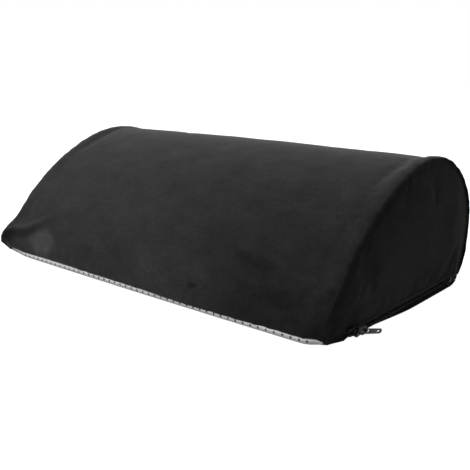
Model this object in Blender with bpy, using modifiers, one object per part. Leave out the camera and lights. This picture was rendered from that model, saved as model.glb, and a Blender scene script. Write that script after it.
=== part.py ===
# Half moon pillow: a foam block in a sewn cover, with a zip along the bottom edge of one end.
# +X runs along the pillow to the end that has the zip, +Y is the back and +Z is up. The origin is on
# the floor, under the middle of the base. All sizes are in metres.
import math

import bmesh
import bpy
from mathutils import Matrix, Vector
from mathutils.geometry import interpolate_bezier

# Sizes of the whole cover, measured at its end seams
length = 0.450
base_front = 0.1278
base_back = 0.1195
seam_height = 0.006
seam_upright = 0.0015
crest_height = 0.1373
crest_back = 0.0359
bulge_back = 0.1342
bulge_height = 0.0581

# How far each curve of the end outline holds its direction from the knots it joins
front_rise = 0.0540
crest_reach_front = 0.0700
crest_reach_back = 0.0534
bulge_reach_up = 0.0472
bulge_reach_down = 0.0325
foot_reach = 0.0103
foot_lean = math.radians(28.8)
front_turn = 0.0025
back_turn = 0.010

# How the left end's outline differs from the right end's
left_crest_rise = 0.0009
left_crest_back = 0.0078
left_crest_reach = -0.0034

# Softness: the crown, the rims at the end seams, and the bulged ends
middle_crown = 0.0017
rim_height = 0.0020
seam_land = 0.004
rim_run = 0.018
end_bulge = 0.0040

# The front corners: where each starts, and how far its tip has moved
corner_start = 0.064
corner_fade = 0.060
right_corner_run = 0.028
right_corner_move = (-0.0064, 0.0036, 0.0025)
left_corner_run = 0.035
left_corner_move = (-0.0107, -0.0054, 0.0060)

# Cloth, and the gap kept between neighbouring pieces
velour = 0.0015
grip_cloth = 0.0015
clearance = 0.0003
end_set_in = 0.0010

# The zip: its place on the end, its tapes and its coil
zip_tilt = math.radians(20.0)
zip_height = 0.0070
zip_set_in = 0.0010
zip_length = 0.200
tape_thick = 0.0006
tape_gap = 0.0034
tape_reach = 0.0052
front_reach = 0.0024
base_cut_in = 0.0065
coil_half = 0.0026
coil_height = 0.0018
coil_root = 0.0015
pitch = 0.0015
tooth_neck = 0.00042
tooth_head = 0.00062
tooth_overlap = 0.00045

# The slider, its crown and the pull tab
slider_inset = 0.0170
slider_length = 0.0125
slider_throat = 0.0015
slider_shoulder = 0.0022
slider_corner = 0.0010
slider_bend = 0.0015
wedge_width = 0.0010
wedge_set_in = 0.0002
wedge_reach = 0.0031
wedge_least = 0.00008
flange = 0.0007
plate = 0.0010
crown_width = 0.0016
crown_bar = 0.0011
crown_room = 0.0022
crown_front = 0.0046
crown_rear = 0.0060
crown_root = 0.0006
crown_floor = 0.0002
crown_round_front = 0.0022
crown_round_rear = 0.0016
tab_length = 0.0170
tab_width = 0.0054
tab_tip_width = 0.0046
tab_thick = 0.0010
tab_root_round = 0.0009
tab_tip_round = 0.0015
tab_eye_bar = 0.0012
tab_eye_length = 0.0036
tab_eye_width = 0.0036
tab_eye_round = 0.0006
tab_hole_length = 0.0032
tab_hole_width = 0.0019
tab_hole_inset = 0.0016
tab_hang = 0.0006
tab_rest = math.radians(26.0)

# The stops at the ends of the slider's travel
stop_length = 0.0025
stop_wall = 0.0008
bottom_stop_inset = 0.006

# Levels through the zip, out from the middle of its tape
slot_level = tape_thick / 2 + clearance
coil_level = slot_level
channel_level = coil_level + coil_height + clearance
body_top = channel_level + plate
body_bottom = -slot_level - plate
hinge_level = body_top + crown_room / 2
crown_top = body_top + crown_room + crown_bar

# Widths and places that follow from the sizes above
coil_spread = wedge_width / 2 + tooth_overlap + clearance
throat_half = coil_half + clearance + flange
mouth_half = throat_half + coil_spread
slider_home = slider_inset - zip_length / 2
slider_half = slider_length / 2
mouth_u = slider_home - slider_half
top_stop_u = mouth_u - clearance - stop_length / 2
bottom_stop_u = zip_length / 2 - bottom_stop_inset
hinge_u = slider_home + crown_rear - crown_bar - tab_eye_bar
half_length = length / 2

# Facets, and how far a cutter runs past what it cuts
arc_steps = (12, 8, 5)
turn_steps = 4
disc_rings = (1.0, 0.86, 0.6, 0.28)
middle_spans = 6
corner_spans = 3
least_span = 0.0005
tape_spans = 24
coil_bends = 8
wedge_spans = 4
lane_spans = 9
cutter_reach = 0.03


def smooth(share):
    """an even ramp from 0 to 1 that starts and ends level"""
    share = min(max(share, 0.0), 1.0)
    return share * share * (3.0 - 2.0 * share)


# The outline of the pillow's end, as (y, z)


def velour_arc(x):
    """from the front bottom seam, over the crest, to the back bottom seam, between the two ends' forms"""
    left = 0.5 - x / length
    front = Vector((-base_front, seam_height + seam_upright))
    crest = Vector((crest_back + left_crest_back * left, crest_height + left_crest_rise * left))
    bulge = Vector((bulge_back, bulge_height))
    back = Vector((base_back, seam_height + seam_upright))
    reach = Vector((crest_reach_front + left_crest_reach * left, 0))
    lean = Vector((math.sin(foot_lean), math.cos(foot_lean)))
    spans = (
        (front, front + Vector((0, front_rise)), crest - reach, crest),
        (crest, crest + Vector((crest_reach_back, 0)), bulge + Vector((0, bulge_reach_up)), bulge),
        (bulge, bulge - Vector((0, bulge_reach_down)), back + foot_reach * lean, back),
    )
    points = [Vector((-base_front, seam_height)), front]
    for span, steps in zip(spans, arc_steps):
        points += [Vector((p[0], p[1])) for p in interpolate_bezier(*span, steps + 1)[1:]]
    points.append(Vector((base_back, seam_height)))
    return points


def base_turn(gap):
    """from the back seam, round under the base, to the front seam, starting a gap below the seams"""
    rise = seam_height - seam_upright
    back, front = [], []
    for step in range(turn_steps + 1):
        angle = math.pi / 2 * step / turn_steps
        z = rise * (1 - math.sin(angle))
        back.append(Vector((base_back - back_turn * (1 - math.cos(angle)), z)))
        front.append(Vector((-base_front + front_turn * (1 - math.cos(angle)), z)))
    back.insert(0, Vector((base_back, seam_height - gap)))
    front.insert(0, Vector((-base_front, seam_height - gap)))
    moved = base_front - front_turn - corner_start
    under = [Vector((-corner_start - moved * i / corner_spans, 0)) for i in range(corner_spans)]
    return back + under + front[::-1]


def at_station(points, x):
    """the outline's points at one place along the pillow: crowned, and lower between the end rims"""
    across = x / half_length
    crown = middle_crown * (1 - across * across)
    from_end = half_length - abs(x)
    dip = rim_height * smooth((from_end - seam_land) / rim_run)
    return [p * (1 + (crown - dip * p.y / crest_height) / crest_height) for p in points]


def inset(points, distances):
    """a closed outline with each side moved inwards by its own distance"""
    moved = []
    for i, point in enumerate(points):
        before = (point - points[i - 1]).normalized()
        after = (points[(i + 1) % len(points)] - point).normalized()
        normal_a = Vector((before.y, -before.x))
        normal_b = Vector((after.y, -after.x))
        near, far = distances[i - 1], distances[i]
        turn = normal_a.x * normal_b.y - normal_a.y * normal_b.x
        if abs(turn) < 0.01:
            shift = (normal_a + normal_b).normalized() * (near + far) / 2
        else:
            shift_x = (near * normal_b.y - far * normal_a.y) / turn
            shift_y = (far * normal_a.x - near * normal_b.x) / turn
            shift = Vector((shift_x, shift_y))
        moved.append(point + shift)
    return moved


def inner_outline(x):
    """the closed outline of what fills the cover at a station"""
    arc = velour_arc(x)
    base = base_turn(0.0)[1:-1]
    distances = [velour + clearance] * (len(arc) - 1) + [grip_cloth + clearance] * (len(base) + 1)
    return inset(at_station(arc + base, x), distances)


def settled(x, y, z):
    """a point of the cover or the foam, moved with the front corner that it is near"""
    run, move = (right_corner_run, right_corner_move) if x > 0 else (left_corner_run, left_corner_move)
    along = smooth((abs(x) - (half_length - run)) / run)
    across = smooth((-y - corner_start) / (base_front - corner_start))
    share = along * across * across * (1 - smooth(z / corner_fade))
    return Vector((x, y, z)) + Vector(move) * share


def ring(points, x):
    return [settled(x, p.x, p.y) for p in points]


def stations(reach):
    """places along the pillow from end to end: close together where its form changes"""
    steps = [0.0, seam_land, seam_land + rim_run / 3, seam_land + rim_run * 2 / 3, seam_land + rim_run]
    steps.append(left_corner_run)
    near_end = [half_length - step for step in steps]
    middle = [near_end[-1] * (1 - 2 * i / middle_spans) for i in range(1, middle_spans)]
    places = near_end + middle + [-x for x in reversed(near_end)]
    kept = [x for x in places if abs(x) < reach - least_span]
    return [-reach] + sorted(kept) + [reach]


# Frames, collections and materials


def zip_matrix():
    """local X runs along the zip, Y across it and up the end, Z straight out of it"""
    s, c = math.sin(zip_tilt), math.cos(zip_tilt)
    along, across, out = Vector((0, 1, 0)), Vector((s, 0, c)), Vector((c, 0, -s))
    turned = Matrix((along, across, out)).transposed().to_4x4()
    return Matrix.Translation((half_length - zip_set_in, 0, zip_height)) @ turned


def new_group(name):
    group = bpy.data.collections.new(name)
    bpy.context.scene.collection.children.link(group)
    return group


def new_material(name, color, roughness, metallic=0.0):
    material = bpy.data.materials.new(name)
    material.use_nodes = True
    shader = material.node_tree.nodes["Principled BSDF"]
    shader.inputs["Base Color"].default_value = (*color, 1.0)
    shader.inputs["Roughness"].default_value = roughness
    shader.inputs["Metallic"].default_value = metallic
    return material


def new_object(name, bm, material, group):
    mesh = bpy.data.meshes.new(name)
    bm.to_mesh(mesh)
    bm.free()
    obj = bpy.data.objects.new(name, mesh)
    group.objects.link(obj)
    if material:
        mesh.materials.append(material)
    return obj


def new_empty(name, parent, location):
    empty = bpy.data.objects.new(name, None)
    parts.objects.link(empty)
    empty.parent = parent
    empty.location = location
    return empty


def smooth_shaded(obj, angle=40.0):
    obj.data.shade_smooth()
    obj.data.set_sharp_from_angle(angle=math.radians(angle))


# Ways of making a solid


def loft(bm, rings, closed):
    """triangles between neighbouring rings, split the same way wherever rings run in the same order"""
    rows = [[bm.verts.new(p) for p in points] for points in rings]
    for near, far in zip(rows, rows[1:]):
        for i in range(len(near) if closed else len(near) - 1):
            j = (i + 1) % len(near)
            bm.faces.new((near[i], far[i], far[j]))
            bm.faces.new((near[i], far[j], near[j]))
    return rows


def dome_rings(side, level):
    """rings over an end, drawn in to its middle while they swell outwards"""
    outline = inner_outline(side * half_length)
    centre = Vector((crest_back / 2, crest_height / 2))
    rings = []
    for share in disc_rings:
        x = side * (half_length - level + end_bulge * (1 - share * share))
        rings.append(ring([centre + (p - centre) * share for p in outline], x))
    return rings


def cutter_box(name, low, high, place=Matrix()):
    bm = bmesh.new()
    bmesh.ops.create_cube(bm, size=1.0)
    size = Matrix.Diagonal([h - l for l, h in zip(low, high)] + [1])
    middle = Matrix.Translation([(h + l) / 2 for l, h in zip(low, high)])
    bmesh.ops.transform(bm, matrix=place @ middle @ size, verts=bm.verts)
    return hidden(new_object(name, bm, None, cutters))


def hidden(obj):
    obj.hide_render = True
    obj.display_type = "WIRE"
    return obj


def boolean(obj, tool, operation="DIFFERENCE"):
    change = obj.modifiers.new(tool.name, "BOOLEAN")
    change.operation = operation
    change.object = tool


def shell(obj, thickness):
    wall = obj.modifiers.new("wall", "SOLIDIFY")
    wall.thickness = thickness
    wall.offset = -1.0
    wall.use_even_offset = True


def rounded(corners, steps=3):
    """an outline from corners (x, y, radius), each with its arc"""
    points = []
    for i, (x, y, radius) in enumerate(corners):
        here = Vector((x, y))
        if radius == 0:
            points.append(here)
            continue
        before = (Vector(corners[i - 1][:2]) - here).normalized()
        after = (Vector(corners[(i + 1) % len(corners)][:2]) - here).normalized()
        half_angle = before.angle(after) / 2
        centre = here + (before + after).normalized() * radius / math.sin(half_angle)
        first = here + before * radius / math.tan(half_angle) - centre
        last = here + after * radius / math.tan(half_angle) - centre
        turn = first.angle_signed(last)
        for step in range(steps + 1):
            points.append(centre + Matrix.Rotation(-turn * step / steps, 2) @ first)
    return points


def flat_solid(name, loops, thickness, material, group, place=Matrix()):
    """a flat outline, with holes, given an even thickness about its own plane"""
    # It is drawn a thousand times too large, because filling an outline joins points 0.03 mm apart.
    enlarged = 1000.0
    drawing = bpy.data.curves.new(name, "CURVE")
    drawing.dimensions = "2D"
    drawing.fill_mode = "BOTH"
    drawing.extrude = thickness * enlarged / 2
    for points in loops:
        spline = drawing.splines.new("POLY")
        spline.points.add(len(points) - 1)
        for knot, point in zip(spline.points, points):
            knot.co = (point[0] * enlarged, point[1] * enlarged, 0, 1)
        spline.use_cyclic_u = True
    drawn = bpy.data.objects.new(name + "_drawing", drawing)
    group.objects.link(drawn)
    depsgraph = bpy.context.evaluated_depsgraph_get()
    filled = bpy.data.meshes.new_from_object(drawn.evaluated_get(depsgraph))
    bpy.data.objects.remove(drawn)
    bm = bmesh.new()
    bm.from_mesh(filled)
    bpy.data.meshes.remove(filled)
    bmesh.ops.remove_doubles(bm, verts=bm.verts, dist=0.001)
    bmesh.ops.transform(bm, matrix=place @ Matrix.Scale(1 / enlarged, 4), verts=bm.verts)
    bmesh.ops.recalc_face_normals(bm, faces=bm.faces)
    return new_object(name, bm, material, group)


# The foam and the cover


def foam_core():
    reach = half_length - end_set_in - velour - clearance
    level = end_set_in + velour + clearance
    along = [ring(inner_outline(x), x) for x in stations(reach)]
    left = list(reversed(dome_rings(-1, level)))[:-1]
    right = dome_rings(1, level)[1:]
    bm = bmesh.new()
    rows = loft(bm, left + along + right, True)
    bm.faces.new(rows[0])
    bm.faces.new(rows[-1])
    bmesh.ops.recalc_face_normals(bm, faces=bm.faces)
    obj = new_object("foam_core", bm, new_material("foam", (0.83, 0.78, 0.62), 0.95), parts)
    behind_zip = body_bottom - clearance
    low = (-zip_length / 2 - clearance, -cutter_reach, behind_zip)
    high = (zip_length / 2 + clearance, tape_reach + clearance * 2, cutter_reach)
    boolean(obj, cutter_box("zip_relief", low, high, zip_matrix()))
    smooth_shaded(obj)
    return obj


def top_panel():
    bm = bmesh.new()
    loft(bm, [ring(at_station(velour_arc(x), x), x) for x in stations(half_length)], False)
    obj = new_object("top_panel", bm, velour_black, parts)
    shell(obj, velour)
    smooth_shaded(obj)
    return obj


def notch_height():
    """the bottom edge of the right end panel, just above the upper tape"""
    return zip_height + (tape_reach + clearance) * math.cos(zip_tilt)


def end_panel(name, side):
    bm = bmesh.new()
    rings = list(reversed(dome_rings(side, end_set_in))) + dome_rings(side, end_set_in + velour)
    rows = loft(bm, rings if side > 0 else rings[::-1], True)
    bm.faces.new(rows[0])
    bm.faces.new(rows[-1])
    bmesh.ops.recalc_face_normals(bm, faces=bm.faces)
    obj = new_object(name, bm, velour_black, parts)
    if side > 0:
        half = zip_length / 2 + clearance
        low = (half_length - cutter_reach, -half, -cutter_reach)
        high = (half_length + cutter_reach, half, notch_height())
        boolean(obj, cutter_box("panel_notch", low, high))
    smooth_shaded(obj)
    return obj


def base_panel():
    bm = bmesh.new()
    base = base_turn(clearance)
    loft(bm, [ring(at_station(base, x), x) for x in stations(half_length)], False)
    obj = new_object("base_panel", bm, new_material("grip_grey", (0.60, 0.60, 0.58), 0.7), parts)
    shell(obj, grip_cloth)
    half = zip_length / 2 + clearance
    low = (half_length - base_cut_in, -half, -cutter_reach)
    high = (half_length + cutter_reach, half, cutter_reach)
    boolean(obj, cutter_box("base_notch", low, high))
    smooth_shaded(obj)
    return obj


# The zip's fixed pieces, in the zip's own frame


def upper_tape(frame):
    bm = bmesh.new()
    bmesh.ops.create_cube(bm, size=1.0)
    width = tape_reach - tape_gap / 2
    size = Matrix.Diagonal((zip_length, width, tape_thick, 1))
    middle = Matrix.Translation((0, tape_gap / 2 + width / 2, 0))
    bmesh.ops.transform(bm, matrix=middle @ size, verts=bm.verts)
    obj = new_object("zip_tape_upper", bm, zip_cloth, parts)
    obj.parent = frame
    return obj


def lower_tape(frame):
    """flat beside the coil, then turned in to the edge of the base, which it meets end to end"""
    to_zip = zip_matrix().inverted()
    rings = []
    for i in range(tape_spans + 1):
        u = zip_length * (i / tape_spans - 0.5)
        forward = smooth((top_stop_u - u) / (top_stop_u + zip_length / 2))
        knee = tape_reach + (front_reach - tape_reach) * forward
        edge_x = half_length - base_cut_in + clearance + tape_thick / 2
        edge = Vector((edge_x, u, settled(edge_x, u, grip_cloth / 2).z))
        rings.append([(u, -tape_gap / 2, 0), (u, -knee, 0), to_zip @ edge])
    bm = bmesh.new()
    loft(bm, rings, False)
    obj = new_object("zip_tape_lower", bm, zip_cloth, parts)
    wall = obj.modifiers.new("wall", "SOLIDIFY")
    wall.thickness = tape_thick
    wall.offset = 0.0
    wall.use_even_offset = True
    obj.parent = frame
    return obj


def spread(u):
    """how far each coil is pushed aside where it passes the slider's wedge"""
    throat = slider_home + slider_throat
    return coil_spread * smooth((throat - u) / (throat - mouth_u))


def coil_row(name, side, frame):
    """the coil as a comb: a straight back on its tape, and teeth that widen towards their tips"""
    first = mouth_u + pitch
    last = bottom_stop_u - stop_length / 2 - clearance - pitch
    count = int((last - first) / pitch)
    shift = 0.0 if side > 0 else pitch / 2
    start = first + shift - pitch / 2
    end = first + shift + (count - 0.5) * pitch
    points = []
    for k in range(count):
        u = first + shift + k * pitch
        root, tip = coil_root + spread(u), spread(u) - tooth_overlap
        points += [(u - tooth_neck / 2, root), (u - tooth_head / 2, tip)]
        points += [(u + tooth_head / 2, tip), (u + tooth_neck / 2, root)]
    points.append((end, coil_root))
    points.append((end, coil_half))
    back = [slider_home + slider_throat - i * pitch for i in range(coil_bends)]
    points += [(u, coil_half + spread(u)) for u in back if u > start]
    points.append((start, coil_half + spread(start)))
    points.append((start, coil_root + spread(start)))
    points = [(u, side * v) for u, v in points]
    place = Matrix.Translation((0, 0, coil_level + coil_height / 2))
    obj = flat_solid(name, [points], coil_height, coil_black, parts, place)
    obj.parent = frame
    return obj


def across_zip(u):
    """places an outline drawn in (across, out) so that it stands square to the zip at u"""
    turned = Matrix(((0, 0, 1), (1, 0, 0), (0, 1, 0))).to_4x4()
    return Matrix.Translation((u, 0, 0)) @ turned


def top_stop(name, side, frame):
    """a clip folded round the edge of one tape"""
    inner = tape_gap / 2 - clearance - stop_wall
    outer = tape_gap / 2 + stop_wall * 2
    high, low = slot_level + stop_wall * 2, -slot_level - stop_wall
    points = [
        (inner, low), (outer, low), (outer, -slot_level), (inner + stop_wall, -slot_level),
        (inner + stop_wall, slot_level), (outer, slot_level), (outer, high), (inner, high),
    ]
    points = [(side * v, w) for v, w in points]
    obj = flat_solid(name, [points], stop_length, zip_metal, parts, across_zip(top_stop_u))
    obj.parent = frame
    return obj


def bottom_stop(frame):
    """a clip that closes over the edges of both tapes"""
    web = tape_gap / 2 - clearance
    outer = coil_half
    high, low = slot_level + stop_wall * 2, -slot_level - stop_wall
    right = [
        (outer, low), (outer, -slot_level), (web, -slot_level),
        (web, slot_level), (outer, slot_level), (outer, high),
    ]
    points = right + [(-v, w) for v, w in reversed(right)]
    obj = flat_solid("bottom_stop", [points], stop_length, zip_metal, parts, across_zip(bottom_stop_u))
    obj.parent = frame
    return obj


# The slider and its pull tab


def slider_body(carrier):
    """two plates joined by the wedge, with flanges round the coil and a crown for the tab"""
    half = [
        (-slider_half, mouth_half, slider_corner), (-slider_shoulder, mouth_half, slider_bend),
        (slider_throat, throat_half, slider_bend), (slider_half, throat_half, slider_corner),
    ]
    outline = rounded(half + [(u, -v, r) for u, v, r in reversed(half)])
    middle = Matrix.Translation((0, 0, (body_top + body_bottom) / 2))
    obj = flat_solid("zip_slider", [outline], body_top - body_bottom, zip_metal, parts, middle)

    def lane(u):
        return coil_half + clearance + spread(slider_home + u)

    past = slider_half + clearance
    walls = [(-past, lane(-past))]
    for i in range(lane_spans + 1):
        u = slider_throat - (slider_throat + slider_half) * (1 - i / lane_spans)
        walls.append((u, lane(u)))
    walls.append((past, lane(past)))
    channel = walls + [(u, -v) for u, v in reversed(walls)]
    side = mouth_half + clearance
    slot = [(-past, -side), (past, -side), (past, side), (-past, side)]

    wedge = []
    for i in range(wedge_spans + 1):
        u = wedge_set_in - slider_half + wedge_reach * i / wedge_spans
        wide = spread(slider_home + u) - tooth_overlap - clearance
        if wide > wedge_least:
            wedge.append((u, wide))
    point = [(wedge[-1][0] + wedge[-1][1], 0.0)]
    wedge = wedge + point + [(u, -v) for u, v in reversed(wedge)]

    middle = Matrix.Translation((0, 0, (channel_level - slot_level) / 2))
    depth = channel_level + slot_level
    boolean(obj, hidden(flat_solid("coil_channel", [channel, wedge], depth, None, cutters, middle)))
    boolean(obj, hidden(flat_solid("tape_slot", [slot, wedge], slot_level * 2, None, cutters)))

    foot = body_top - crown_root
    floor = body_top - crown_floor
    ring_outside = rounded([
        (-crown_front, foot, 0), (crown_rear, foot, 0),
        (crown_rear, crown_top, crown_round_rear), (-crown_front, crown_top, crown_round_front),
    ])
    ring_inside = rounded([
        (-crown_front + crown_bar, floor, 0), (crown_rear - crown_bar, floor, 0),
        (crown_rear - crown_bar, crown_top - crown_bar, crown_round_rear - crown_bar),
        (-crown_front + crown_bar, crown_top - crown_bar, crown_round_front - crown_bar),
    ])
    upright = Matrix(((1, 0, 0), (0, 0, -1), (0, 1, 0))).to_4x4()
    crown = flat_solid("crown", [ring_outside, ring_inside], crown_width, None, cutters, upright)
    boolean(obj, hidden(crown), "UNION")
    for tool in obj.modifiers:
        tool.object.parent = carrier
    obj.parent = carrier
    smooth_shaded(obj)
    return obj


def pull_tab(hinge):
    """a flat pull, whose eye lets the crown through"""
    back = -tab_eye_bar / 2
    outline = rounded([
        (back, -tab_width / 2, tab_root_round), (tab_length, -tab_tip_width / 2, tab_tip_round),
        (tab_length, tab_tip_width / 2, tab_tip_round), (back, tab_width / 2, tab_root_round),
    ], 4)
    low, high = tab_eye_bar / 2, tab_eye_bar / 2 + tab_eye_length
    eye = rounded([(u, v, tab_eye_round) for u, v in (
        (low, -tab_eye_width / 2), (high, -tab_eye_width / 2),
        (high, tab_eye_width / 2), (low, tab_eye_width / 2),
    )])
    end = tab_length - tab_hole_inset
    start = end - tab_hole_length
    # The hole's ends are nearly full rounds, whose arcs still don't meet in one point.
    nearly_half = 0.4995
    radius = tab_hole_width * nearly_half
    hole = rounded([(u, v, radius) for u, v in (
        (start, -tab_hole_width / 2), (end, -tab_hole_width / 2),
        (end, tab_hole_width / 2), (start, tab_hole_width / 2),
    )])
    obj = flat_solid("pull_tab", [outline, eye, hole], tab_thick, zip_metal, parts)
    obj.parent = hinge
    smooth_shaded(obj)
    return obj


for old in list(bpy.data.objects):
    bpy.data.objects.remove(old)

parts = new_group("half_moon_pillow")
cutters = new_group("cutters")
velour_black = new_material("velour_black", (0.030, 0.030, 0.032), 0.9)
zip_cloth = new_material("zip_cloth", (0.018, 0.018, 0.019), 0.85)
coil_black = new_material("coil_black", (0.022, 0.022, 0.023), 0.45)
zip_metal = new_material("zip_metal", (0.10, 0.10, 0.105), 0.35, 0.8)

foam_core()
top_panel()
end_panel("left_end_panel", -1)
end_panel("right_end_panel", 1)
base_panel()

zip_frame = new_empty("zip_frame", None, (0, 0, 0))
zip_frame.matrix_world = zip_matrix()
upper_tape(zip_frame)
lower_tape(zip_frame)
coil_row("zip_teeth_upper", 1, zip_frame)
coil_row("zip_teeth_lower", -1, zip_frame)
top_stop("top_stop_upper", 1, zip_frame)
top_stop("top_stop_lower", -1, zip_frame)
bottom_stop(zip_frame)

slider_carrier = new_empty("slider_carrier", zip_frame, (slider_home, 0, 0))
slider_body(slider_carrier)
tab_hinge = new_empty("tab_hinge", zip_frame, (hinge_u, -tab_hang, hinge_level))
tab_hinge.rotation_euler = (0, -tab_rest, 0)
pull_tab(tab_hinge)
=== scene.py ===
# The looks of a half moon pillow: a foam block in a near black velour cover, with a grey grip fabric
# underneath and a coil zip along the bottom of its right end. Metres, +Z up, the frame's own axes.

import math

import bmesh
import bpy
import numpy as np
from mathutils import Matrix, Vector, noise
from mathutils.geometry import interpolate_bezier


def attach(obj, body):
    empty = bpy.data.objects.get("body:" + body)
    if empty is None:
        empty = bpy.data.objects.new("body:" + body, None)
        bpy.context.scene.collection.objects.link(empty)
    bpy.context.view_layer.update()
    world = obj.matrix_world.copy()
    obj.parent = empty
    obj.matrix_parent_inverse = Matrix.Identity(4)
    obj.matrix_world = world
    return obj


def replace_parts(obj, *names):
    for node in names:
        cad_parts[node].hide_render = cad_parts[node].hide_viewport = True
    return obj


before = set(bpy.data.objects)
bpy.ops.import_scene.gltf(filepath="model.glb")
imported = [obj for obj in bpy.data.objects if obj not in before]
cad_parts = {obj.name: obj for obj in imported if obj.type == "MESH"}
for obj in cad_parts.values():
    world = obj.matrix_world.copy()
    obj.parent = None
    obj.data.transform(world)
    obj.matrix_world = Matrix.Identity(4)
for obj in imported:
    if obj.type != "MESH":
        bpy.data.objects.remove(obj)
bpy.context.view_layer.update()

# Sizes that the cover shares with its solids
length = 0.450
base_front = 0.1278
base_back = 0.1195
seam_height = 0.006
seam_upright = 0.0015
crest_height = 0.1373
crest_back = 0.0359
bulge_back = 0.1342
bulge_height = 0.0581
front_rise = 0.0540
crest_reach_front = 0.0700
crest_reach_back = 0.0534
bulge_reach_up = 0.0472
bulge_reach_down = 0.0325
foot_reach = 0.0103
foot_lean = math.radians(28.8)
front_turn = 0.0025
back_turn = 0.010
left_crest_rise = 0.0009
left_crest_back = 0.0078
left_crest_reach = -0.0034
middle_crown = 0.0017
rim_height = 0.0020
seam_land = 0.004
rim_run = 0.018
half_length = length / 2
arc_steps = (60, 30, 20)
panel_inset = 0.0018
end_set_in = 0.0010
end_bulge = 0.0040

# The corners, settled a little further than in the solids: where each starts and fades, how far its tip has
# moved, and the heights between which the left front one tucks in and flares out
corner_start = 0.064
corner_fade = 0.060
right_corner_run = 0.028
right_corner_move = (-0.0064, 0.0036, 0.0025)
left_corner_run = 0.035
left_corner_move = (-0.0125, -0.0056, 0.0060)
left_flare = (0.012, 0.050)
left_tuck = (0.0015, 0.0095)
rear_corner_run = 0.030
rear_corner_start = 0.085
rear_corner_fade = 0.020
rear_corner_move = (-0.0004, -0.0022, 0.0003)

# The zip's place in the frame, and the sizes that it shares with its solids
zip_tilt = math.radians(20.0)
zip_height = 0.0062
zip_set_in = 0.0012
zip_length = 0.200
base_cut_in = 0.0065
coil_half = 0.0026
coil_level = 0.0006
coil_height = 0.0018
coil_overlap = 0.00045
coil_spread = 0.00125
pitch = 0.0015
slider_home = -0.083
slider_throat = 0.0015
slider_half = 0.00625
slider_travel = 0.169
bottom_stop_u = 0.094
bottom_stop_half = 0.0013

# Cloth: its cell before it is subdivided, its wall, how air presses it out, and how its edges roll in
cell = 0.005
cloth_wall = 0.0007
cloth_frames = 20
air_pressure = 4.0
top_cap = 0.0009
end_cap = 0.0005
edge_roll = 0.0010
roll_steps = ((0.0005, 0.0001), (0.0009, 0.0004), (0.0010, 0.0009), (0.0007, 0.0014))

# The velour's front edge over the grip fabric, and how the base's edges are tucked up behind it
left_corner_hem = 0.0050
right_corner_hem = 0.0026
corner_hem_run = 0.016
sag_hem = 0.0018
sag_at = 0.085
sag_run = 0.055
rise_hem = 0.0010
rise_at = -0.125
rise_run = 0.050
ragged_hem = 0.0006
ragged_hem_scale = 210.0
ragged_seam = 0.0004
ragged_seam_scale = 190.0
base_tuck = 0.0011
base_tuck_rise = 0.0035
base_hem_share = 0.35
end_hem_inset = 0.0005
base_end_inset = 0.0024
hem_reach = 0.018

# The opening for the zip in the right end's bottom edge, and how its hem is pushed out over the zip
opening_front_run = 0.009
opening_back_run = 0.006
opening_back_inset = 0.001
hem_height = 0.0116
hem_push = 0.0019
hem_push_reach = 0.022

# The end panels' grid, how their edge is cut into sides, and how their cloth swells out from the seam
end_columns = 48
end_rows = 27
end_sides = (0.31, 0.69)
loop_points = 400
turn_cut = 4
ring_gap = 0.0002
bulge_run = 0.055
groove = 0.0008
groove_at = 0.0035
groove_reach = 0.003

# The end panels' relief; their colour, darkened all over and along the seam as painted shade, with random
# clouds; and how they shine
end_swell, end_swell_scale = 0.0004, 22.0
rim_pucker, rim_pucker_scale, rim_pucker_fade = 0.0003, 9.0, 0.012
end_painted_shade, end_seam_painted_shade, end_seam_reach = 0.85, 0.12, 0.009
end_cloud, end_cloud_scale = 0.06, 30.0
end_shine = 0.24

# The base's rows: fine ones round its turned-up edges, and even ones between
fine_row = 0.0007
fine_rows = 22
flat_rows = 56
base_relief, base_relief_scale, base_relief_from = 0.00012, 60.0, 0.001

# The spare tape on the floor: its place, how it widens and narrows along its run, and its level and wall
lip_start = -0.074
lip_run = 0.190
lip_inner = 0.2195
lip_under = 0.004
lip_wider = (0.0070, -0.075, 0.090)
lip_narrower = (0.0052, 0.092, 0.036)
lip_level = -0.0001
lip_wall = 0.0002

# Grip dots: their rows, their form, and the room that they leave at the edges
dot_pitch = 0.00855
dot_row = 0.0074
dot_radius = 0.0013
dot_top = 0.55
dot_sides = 8
dot_height = 0.00035
dot_sink = 0.0001
dot_margin = 0.004
dot_edge_room = 0.003
first_dot_row = 0.0028
dot_row_sway = 0.0010
dot_row_sway_scale = 11.0
dot_near_share = 0.002
dot_near_s = 0.0005

# The foam stands back from the cloth, and more at the left front corner, where the cloth juts out alone
foam_shrink = 0.0020
foam_corner_move = (0.0075, 0.0035, 0.0)
foam_corner_x = (0.175, 0.040)
foam_corner_y = (0.045, 0.070)
foam_corner_z = (0.075, -0.040)

# The coil's wire, and the room by the bottom stop for the slider's wedge
coil_wire = 0.00030
coil_turn_points = 14
coil_roundness = 0.75
coil_tip_swell = 0.18
wedge_room = 0.0011
wedge_room_reach = 0.0045

# How a piece's doubles are merged and its flat faces joined, and how wide the metal's edges are eased
wire_weld = 0.000005
metal_weld = 0.000004
foam_weld = 0.00002
flat_below = math.radians(1.0)
eased_above = math.radians(35)
slider_ease = 0.00018
tab_ease = 0.00016
clip_ease = 0.0001


def smooth(share):
    share = min(max(share, 0.0), 1.0)
    return share * share * (3.0 - 2.0 * share)


def grown(value, start, run):
    """0 up to the start, and 1 from the end of the run; a negative run goes the other way"""
    return smooth((value - start) / run)


def hump(distance, reach):
    """1 at no distance, falling away on both sides like a bell"""
    return math.exp(-((distance / reach) ** 2))


def fall(distance, reach):
    """1 at no distance, falling away fast at first"""
    return math.exp(-distance / reach)


def wave(x, y, z, scale):
    """smooth noise between -1 and 1; where x and y are a place on a sheet, z picks a layer of the noise"""
    return noise.noise(Vector((x, y, z)) * scale)


# The cover's form, as its solids have it


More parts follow.
